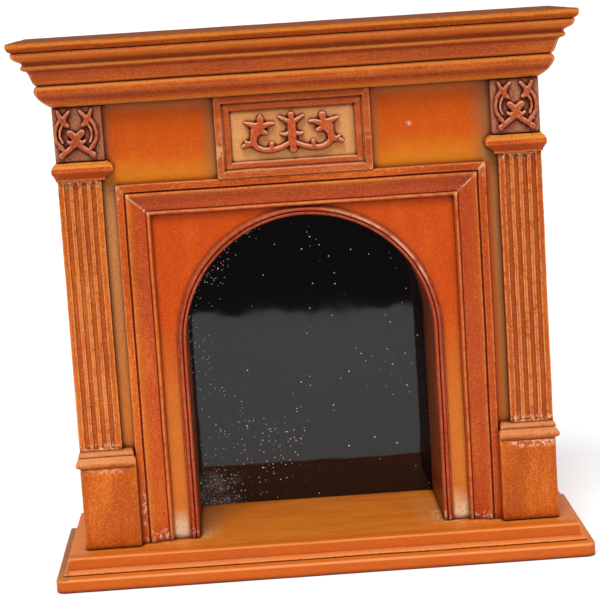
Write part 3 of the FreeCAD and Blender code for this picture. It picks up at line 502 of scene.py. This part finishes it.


# the paint that only this stain's pieces have, and what differs from the common stain
# up and arris tints give painted highlights and under, hollow and rim tints painted shade; the block and
# tablet grounds take stronger painted shade round their relief, the carvings stronger painted highlights
stains = {
    "capitalWood": (None, {"grain": "x", "up": "E09430", "upAmount": 0.9}),
    "corniceWood": (cornicePaint, {"grain": "x", "base": "C25412", "up": "E89A3C", "upAmount": 0.9,
                                   "under": "8E300C", "underShadeAmount": 0.4, "hollowReach": 1.2}),
    "corniceSide": (cornicePaint, {"grain": "y", "base": "BE5010"}),
    # the shelf's up tint darkens its top face as painted shade
    "shelfWood": (shelfPaint, {"grain": "x", "base": "C05212", "up": "7A3E16", "upAmount": 1.25,
                               "under": "8A2C0A", "rough": 0.6, "coat": 0.0, "shine": 0.04}),
    "hearthWood": (hearthPaint, {"grain": "x", "base": "CC6A14", "deep": "A84E0E", "pale": "DC8A28",
                                 "along": 0.06, "contrast": 1.4, "pebble": 0.12, "up": "E4822A",
                                 "arrisAmount": 0.8}),
    "panelWood": (panelPaint, {"base": "BE4A0C", "contrast": 0.5, "pebble": 0.24, "arris": "E07C26"}),
    "architraveWood": (architravePaint, {"base": "C04E12", "hollow": "80240A", "hollowAmount": 0.75}),
    "architraveHeadWood": (architravePaint, {"grain": "x", "base": "BC4C14", "hollow": "80240A",
                                             "hollowAmount": 0.75}),
    "shaftWood": (shaftPaint, {"base": "C25A18", "pale": "DC8836", "hollowReach": 0.8,
                               "hollowAmount": 0.65, "arrisAmount": 0.9}),
    "plinthWood": (plinthPaint, {"base": "B6520E", "deep": "963F0A", "pebble": 0.2, "contrast": 0.5}),
    "mouldingWood": (None, {"grain": "x", "base": "C46A2C", "pale": "DC9458", "up": "DC9664",
                            "upAmount": 0.7}),
    "beadWood": (beadPaint, {"base": "A43618", "deep": "7C2408", "pale": "C86030", "hollowReach": 0.7,
                             "arris": "D8764E", "arrisAmount": 0.45}),
    "blockWood": (None, {"base": "A4664A", "deep": "74382A", "pale": "BE8C6C", "pebble": 0.5,
                         "up": "B07A58", "hollowAmount": 1.0, "hollowReach": 0.8,
                         "hollowRange": (0.55, 0.98), "rimAmount": 1.0, "rimReach": 0.5}),
    "blockCarvingWood": (None, {"base": "AC4A1E", "deep": "8A3214", "pale": "C06A40", "arris": "F0B090",
                                "arrisAmount": 0.5, "up": "F0AC8C", "upAmount": 1.0,
                                "hollowReach": 0.5}),
    "tabletWood": (tabletPaint, {"grain": "x", "base": "B24C1C", "pale": "CC7440", "up": "E8AC80",
                                 "upAmount": 0.9, "hollowReach": 1.0, "hollowRange": (0.5, 0.96)}),
    "tabletGroundWood": (tabletGroundPaint, {"grain": "x", "base": "DE9A5C", "pale": "ECB878",
                                             "deep": "B86C30", "pebble": 0.45, "hollowAmount": 0.95,
                                             "hollowReach": 0.8, "hollowRange": (0.5, 0.92),
                                             "rimAmount": 1.0, "rimReach": 0.5}),
    "tabletCarvingWood": (None, {"base": "B84A1A", "deep": "8E3414", "pale": "C86A3A",
                                 "arris": "F0B088", "arrisAmount": 0.5, "up": "F4BC9C",
                                 "upAmount": 1.0, "hollowReach": 0.5}),
    # the reveal's darker stain is painted shade, the jamb's inside lying in shadow
    "shadedRevealWood": (None, {"grain": "y", "base": "7C3A18", "deep": "5A2410", "pale": "9A5428",
                          "rough": 0.5}),
    "carcassWood": (None, {"arrisAmount": 0.4, "contrast": 1.3}),
}
finishes = {name: stainedWood(name, *row) for name, row in stains.items()}
print("stains mixed:", len(finishes))

# boxes and their softness are in millimetres, and brimOut is in square millimetres
paneDust = {
    "base": "0A0606", "dust": "FFFDF8",
    "upperLeft": ((-30, 0, 50), (-15, 30, 64), 9.0), "lowerLeft": ((-27, 0, 5), (-14, 30, 13), 5.0),
    "lowerMiddle": ((-27, 0, 5), (-2, 30, 24), 12.0), "lowerMiddleShare": 0.4,
    "brimOut": (330, 560), "brimAcross": (-4, -10), "brimUp": (20, 44),
    "coarse": (1.1, 0.1, 0.2), "coarseShare": (0.95, 0.98),
    "fine": (2.3, 0.14, 0.28), "fineShare": (1.0, 1.04),
    "smearBox": ((-27, 0, 5), (-16, 30, 12), 4.0), "smearShare": 0.6, "curl": (0.03, 0.008),
    "rough": 0.015, "dustRough": 0.5, "hazeRough": 0.05, "dustHeight": 0.05, "depth": 0.09,
}


def blackSheet():
    # dust is densest round the left side of the arch and in the lower left corner
    make = Look("blackSheet")
    ripple = make.noise(0.05, 2.0, 0.5, shift=3.0)
    spot, share = make.specks(*paneDust["coarse"])
    fine, fineShare = make.specks(*paneDust["fine"])
    cloud = make.noise(0.09, 3.0, 0.6, shift=13.0)
    upperLeft, lowerLeft, lowerMiddle = [make.inBox(*paneDust[name])
                                         for name in ("upperLeft", "lowerLeft", "lowerMiddle")]
    corner = upperLeft.most(lowerLeft).most(lowerMiddle * paneDust["lowerMiddleShare"])
    brim = radiusSquared(make).rise(*paneDust["brimOut"]) * make.x.rise(*paneDust["brimAcross"])
    brim = brim * make.z.rise(*paneDust["brimUp"])
    crowd = (cloud * 0.5 + corner * 0.5).rise(0.2, 0.8).most(brim * (cloud + 0.35))
    swirls = make.noise(2.2, 4.0, 0.7, shift=37.0, warp=2.0)
    curls = abs(swirls - 0.5).rise(*paneDust["curl"])
    smears = make.inBox(*paneDust["smearBox"]) * curls * cloud.rise(0.35, 0.6)
    coarse = spot * (share + brim * 0.08).rise(*paneDust["coarseShare"])
    dust = coarse.most(smears * paneDust["smearShare"])
    dust = dust.most(fine * (fineShare + crowd * 0.6).rise(*paneDust["fineShare"]))
    haze = make.noise((0.4, 0.2, 0.06), 3.0, 0.6, shift=47.0)
    colour = mixed(paint(paneDust["base"]), paint(paneDust["dust"]), dust)
    rough = dust * paneDust["dustRough"] + haze * paneDust["hazeRough"] + paneDust["rough"]
    return make.finish(colour, rough, ripple + dust * paneDust["dustHeight"], paneDust["depth"])


finishes["blackSheet"] = blackSheet()
print("finishes made:", len(finishes))

wobble = {"broad": 0.16, "broadCell": 14, "small": 0.05, "smallCell": 3.5}  # hand-finished unevenness, mm
bevel = {"segments": 2, "limit_method": "ANGLE", "angle_limit": math.radians(26),
         "use_clamp_overlap": True, "miter_outer": "MITER_ARC"}
joined = {"closer": 0.002 * mm, "flatter": math.radians(0.5)}  # points and faces of a copy that become one
smoothUpTo = math.radians(40)


def makeCloud(name, cell):
    cloud = bpy.data.textures.new(name, "CLOUDS")
    cloud.cloud_type = "COLOR"
    cloud.noise_scale = cell * mm
    cloud.noise_depth = 1
    return cloud


broadCloud = makeCloud("broadCloud", wobble["broadCell"])
smallCloud = makeCloud("smallCloud", wobble["smallCell"])


def only(piece):
    bpy.ops.object.select_all(action="DESELECT")
    piece.select_set(True)
    bpy.context.view_layer.objects.active = piece


def applied(piece, kind, settings):
    only(piece)
    modifier = piece.modifiers.new(kind.title(), kind)
    for name, value in settings.items():
        setattr(modifier, name, value)
    bpy.ops.object.modifier_apply(modifier=modifier.name)


def sliced(piece, slices):
    # cuts across the piece every few millimetres, so that its long faces can bend a little
    low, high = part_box(piece["source"])
    bpy.ops.object.mode_set(mode="EDIT")
    for axis, step in slices:
        number = "xyz".index(axis)
        count = int((high[number] - low[number]) / (step * mm))
        normal = [0.0, 0.0, 0.0]
        normal[number] = 1.0
        for cut in range(1, count):
            place = [0.0, 0.0, 0.0]
            place[number] = low[number] + (high[number] - low[number]) * cut / count
            bpy.ops.mesh.select_all(action="SELECT")
            bpy.ops.mesh.bisect(plane_co=place, plane_no=normal)
    bpy.ops.object.mode_set(mode="OBJECT")


def unevened(piece):
    for cloud, strength in ((broadCloud, wobble["broad"]), (smallCloud, wobble["small"])):
        applied(piece, "DISPLACE", {"texture": cloud, "texture_coords": "GLOBAL", "direction": "RGB_TO_XYZ",
                                    "strength": strength * mm, "mid_level": 0.5})
    for point in piece.data.vertices:  # nothing leaves the object's own box
        for n in range(3):
            point.co[n] = min(max(point.co[n], lowCorner[n]), highCorner[n])


def copyOf(node):
    # a copy under the node's name in camel case, with its doubled points joined
    words = node.split("_")
    name = words[0] + "".join(word.title() for word in words[1:])
    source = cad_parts[node]
    piece = source.copy()
    piece.data = source.data.copy()
    for key in list(piece.keys()):
        del piece[key]
    piece.name = name
    piece.data.name = name
    piece.parent = None
    scene.collection.objects.link(piece)
    piece["source"] = node
    only(piece)
    bpy.ops.object.mode_set(mode="EDIT")
    bpy.ops.mesh.select_all(action="SELECT")
    bpy.ops.mesh.remove_doubles(threshold=joined["closer"])
    bpy.ops.mesh.dissolve_limited(angle_limit=joined["flatter"])
    bpy.ops.object.mode_set(mode="OBJECT")
    return piece


def painted(piece, finish):
    piece.data.materials.clear()
    piece.data.materials.append(finishes[finish])


def placed(piece, node, finish):
    painted(piece, finish)
    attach(piece, "root")
    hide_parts(node)


def finishedPiece(node, finish, slotName, soften, slices):
    piece = copyOf(node)
    sliced(piece, slices)
    applied(piece, "BEVEL", {"width": soften * mm, **bevel})
    unevened(piece)
    only(piece)
    bpy.ops.object.shade_smooth_by_angle(angle=smoothUpTo)
    placed(piece, node, finish)


# node, finish, slot, the softened edges' width, and the slices' axes and steps, in millimetres
pieces = [
    ("hearth_base_board", "hearthWood", "hearth_wood", 0.3, (("x", 3.0), ("y", 4.0))),
    ("hearth_top_board", "hearthWood", "hearth_wood", 0.25, (("x", 3.0), ("y", 4.0))),
    ("front_board", "panelWood", "panel_wood", 0.1, (("x", 4.0), ("z", 4.0))),
    ("side_board_left", "carcassWood", "carcass_wood", 0.2, (("z", 4.0), ("y", 4.0))),
    ("side_board_right", "carcassWood", "carcass_wood", 0.2, (("z", 4.0), ("y", 4.0))),
    ("top_board", "carcassWood", "carcass_wood", 0.2, (("x", 5.0),)),
    ("back_board", "carcassWood", "carcass_wood", 0.2, (("x", 5.0), ("z", 5.0))),
    ("arch_liner", "shadedRevealWood", "reveal_wood", 0.1, (("z", 4.0), ("y", 4.0))),
    ("bead_left", "beadWood", "stained_wood", 0.15, (("z", 2.0),)),
    ("bead_crown", "beadWood", "stained_wood", 0.15, ()),
    ("bead_filler", "beadWood", "stained_wood", 0.15, ()),
    ("bead_right", "beadWood", "stained_wood", 0.15, (("z", 2.0),)),
    ("architrave_left", "architraveWood", "stained_wood", 0.16, (("z", 2.5),)),
    ("architrave_head", "architraveHeadWood", "stained_wood", 0.16, (("x", 2.5),)),
    ("architrave_right", "architraveWood", "stained_wood", 0.16, (("z", 2.5),)),
    ("plinth_block_left", "plinthWood", "stained_wood", 0.25, (("z", 2.5), ("x", 2.5))),
    ("plinth_block_right", "plinthWood", "stained_wood", 0.25, (("z", 2.5), ("x", 2.5))),
    ("base_moulding_left", "mouldingWood", "stained_wood", 0.2, (("x", 1.5),)),
    ("base_moulding_right", "mouldingWood", "stained_wood", 0.2, (("x", 1.5),)),
    ("fluted_shaft_left", "shaftWood", "stained_wood", 0.14, (("z", 2.5),)),
    ("fluted_shaft_right", "shaftWood", "stained_wood", 0.14, (("z", 2.5),)),
    ("capital_moulding_left", "capitalWood", "stained_wood", 0.15, (("x", 1.5),)),
    ("capital_moulding_right", "capitalWood", "stained_wood", 0.15, (("x", 1.5),)),
    ("corner_block_left", "blockWood", "carved_wood", 0.3, (("z", 1.5), ("x", 1.5))),
    ("corner_block_right", "blockWood", "carved_wood", 0.3, (("z", 1.5), ("x", 1.5))),
    ("tablet_backing", "tabletGroundWood", "tablet_wood", 0.15, (("x", 2.0), ("z", 2.0))),
    ("tablet_stile_left", "tabletWood", "tablet_wood", 0.12, (("z", 1.2),)),
    ("tablet_stile_right", "tabletWood", "tablet_wood", 0.12, (("z", 1.2),)),
    ("tablet_rail_top", "tabletWood", "tablet_wood", 0.12, (("x", 1.5),)),
    ("tablet_rail_bottom", "tabletWood", "tablet_wood", 0.12, (("x", 1.5),)),
    ("bed_moulding_front", "corniceWood", "stained_wood", 0.2, (("x", 2.5),)),
    ("bed_moulding_return_left", "corniceSide", "stained_wood", 0.2, (("y", 2.5),)),
    ("bed_moulding_return_right", "corniceSide", "stained_wood", 0.2, (("y", 2.5),)),
    ("crown_moulding_front", "corniceWood", "stained_wood", 0.2, (("x", 2.5),)),
    ("crown_moulding_return_left", "corniceSide", "stained_wood", 0.2, (("y", 2.5),)),
    ("crown_moulding_return_right", "corniceSide", "stained_wood", 0.2, (("y", 2.5),)),
    ("mantel_shelf", "shelfWood", "stained_wood", 0.1, (("x", 2.5), ("y", 3.0))),
]
for row in pieces:
    finishedPiece(*row)
print("boards and mouldings finished:", len(pieces))

# sizes in millimetres, and lift is how many times higher the relief stands than the flat strokes
carving = {"cell": 0.085, "swell": 0.1, "soften": 0.6, "rounds": 16, "sink": 0.4, "lift": 1.75}


def roundedCarving(node, finish):
    # the flat strokes thickened into the ground behind, then rounded over like carved relief
    piece = copyOf(node)
    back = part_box(node)[1][1]
    for point in piece.data.vertices:
        if point.co.y > back - 0.01 * mm:
            point.co.y += carving["sink"] * mm
    applied(piece, "REMESH", {"mode": "VOXEL", "voxel_size": carving["cell"] * mm})
    applied(piece, "DISPLACE", {"strength": carving["swell"] * mm, "mid_level": 0.0})
    applied(piece, "SMOOTH", {"factor": carving["soften"], "iterations": carving["rounds"]})
    for point in piece.data.vertices:
        if point.co.y < back:
            point.co.y = back + (point.co.y - back) * carving["lift"]
    unevened(piece)
    only(piece)
    bpy.ops.object.shade_smooth()
    placed(piece, node, finish)


roundedCarving("corner_carving_left", "blockCarvingWood")
roundedCarving("corner_carving_right", "blockCarvingWood")
roundedCarving("tablet_carving", "tabletCarvingWood")
print("carvings rounded")

painted(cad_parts["firebox_pane"], "blackSheet")  # its shape stays as it is
print("black sheet painted")

# lengths in metres and angles in degrees; the dark card is what the black sheet mirrors above the floor
studio = {"floorHalf": 1.6, "floorFront": -0.255, "darkFront": -2.4, "darkLevel": -0.001,
          "paper": "F8F8F7", "paperShade": "DDDDDA", "darkPaper": "050404", "paperRough": 0.9,
          "glow": 0.18, "sky": 0.51, "backdrop": 1.1,
          "keyStrength": 2.2, "keySoftness": 28, "keyHeight": 54, "keySide": -14,
          "fillPower": 0.5, "fillSize": 0.5, "fillPlace": (0.5, -0.6, 0.3), "fillAim": (0, 0, 0.06)}


def plainPaper(name, hexColour, glow):
    make = Look(name)
    tooth = make.noise(0.6, 2.0, 0.5)
    colour = mixed(paint(hexColour), paint(studio["paperShade"]), tooth * 0.03)
    material = make.finish(colour, studio["paperRough"], tooth, 0.02)
    shader = material.node_tree.nodes["Principled BSDF"]
    shader.inputs["Emission Color"].default_value = white
    shader.inputs["Emission Strength"].default_value = glow
    return material


def card(name, material, front, back, level):
    bpy.ops.object.select_all(action="DESELECT")
    bpy.ops.mesh.primitive_plane_add(size=1.0)
    sheet = bpy.context.active_object
    sheet.name = name
    sheet.scale = (2 * studio["floorHalf"], back - front, 1)
    sheet.location = (0, (front + back) / 2, level)
    bpy.ops.object.transform_apply(location=True, rotation=True, scale=True)
    sheet.data.materials.append(material)
    return sheet


paper = plainPaper("paper", studio["paper"], studio["glow"])
card("floor", paper, studio["floorFront"], studio["floorHalf"], 0.0)
darkPaper = plainPaper("darkPaper", studio["darkPaper"], 0.0)
darkCard = card("darkFloor", darkPaper, studio["darkFront"], studio["floorFront"], studio["darkLevel"])
darkCard.visible_camera = False

world = bpy.data.worlds.new("studio")
world.use_nodes = True
scene.world = world
sky = Wire(world.node_tree)
backdropSeen = sky.node("LightPath", out="Is Camera Ray")
brightness = backdropSeen * (studio["backdrop"] - studio["sky"]) + studio["sky"]
background = world.node_tree.nodes["Background"]
world.node_tree.links.new(brightness.socket, background.inputs["Strength"])
background.inputs["Color"].default_value = white

key = bpy.data.lights.new("keyLight", "SUN")
key.energy = studio["keyStrength"]
key.angle = math.radians(studio["keySoftness"])
keyLight = bpy.data.objects.new("keyLight", key)
keyLight.rotation_euler = (math.radians(90 - studio["keyHeight"]), 0, math.radians(studio["keySide"]))
scene.collection.objects.link(keyLight)

fill = bpy.data.lights.new("fillLight", "AREA")
fill.energy = studio["fillPower"]
fill.size = studio["fillSize"]
fillLight = bpy.data.objects.new("fillLight", fill)
fillLight.location = studio["fillPlace"]
towards = Vector(studio["fillAim"]) - Vector(studio["fillPlace"])
fillLight.rotation_euler = towards.to_track_quat("-Z", "Y").to_euler()
scene.collection.objects.link(fillLight)

view = {"lens": 120.0, "sensor": 36.0, "near": 0.01, "eye": (-10.905, -387.017, 112.659),
        "turn": -1.402, "tip": -9.133, "roll": -3.660}  # millimetres and degrees, with near in metres

lens = bpy.data.cameras.new("camera")
lens.lens = view["lens"]
lens.sensor_width = view["sensor"]
lens.clip_start = view["near"]
camera = bpy.data.objects.new("camera", lens)
turn, tip, roll = [Matrix.Rotation(math.radians(view[name]), 3, axis)
                   for name, axis in (("turn", "Z"), ("tip", "X"), ("roll", "Z"))]
aim = turn @ tip @ Euler((math.radians(90), 0, 0)).to_matrix() @ roll
camera.matrix_world = Matrix.Translation(Vector(view["eye"]) * mm) @ aim.to_4x4()
scene.collection.objects.link(camera)
scene.camera = camera
scene.view_settings.view_transform = "Standard"
print("studio set")
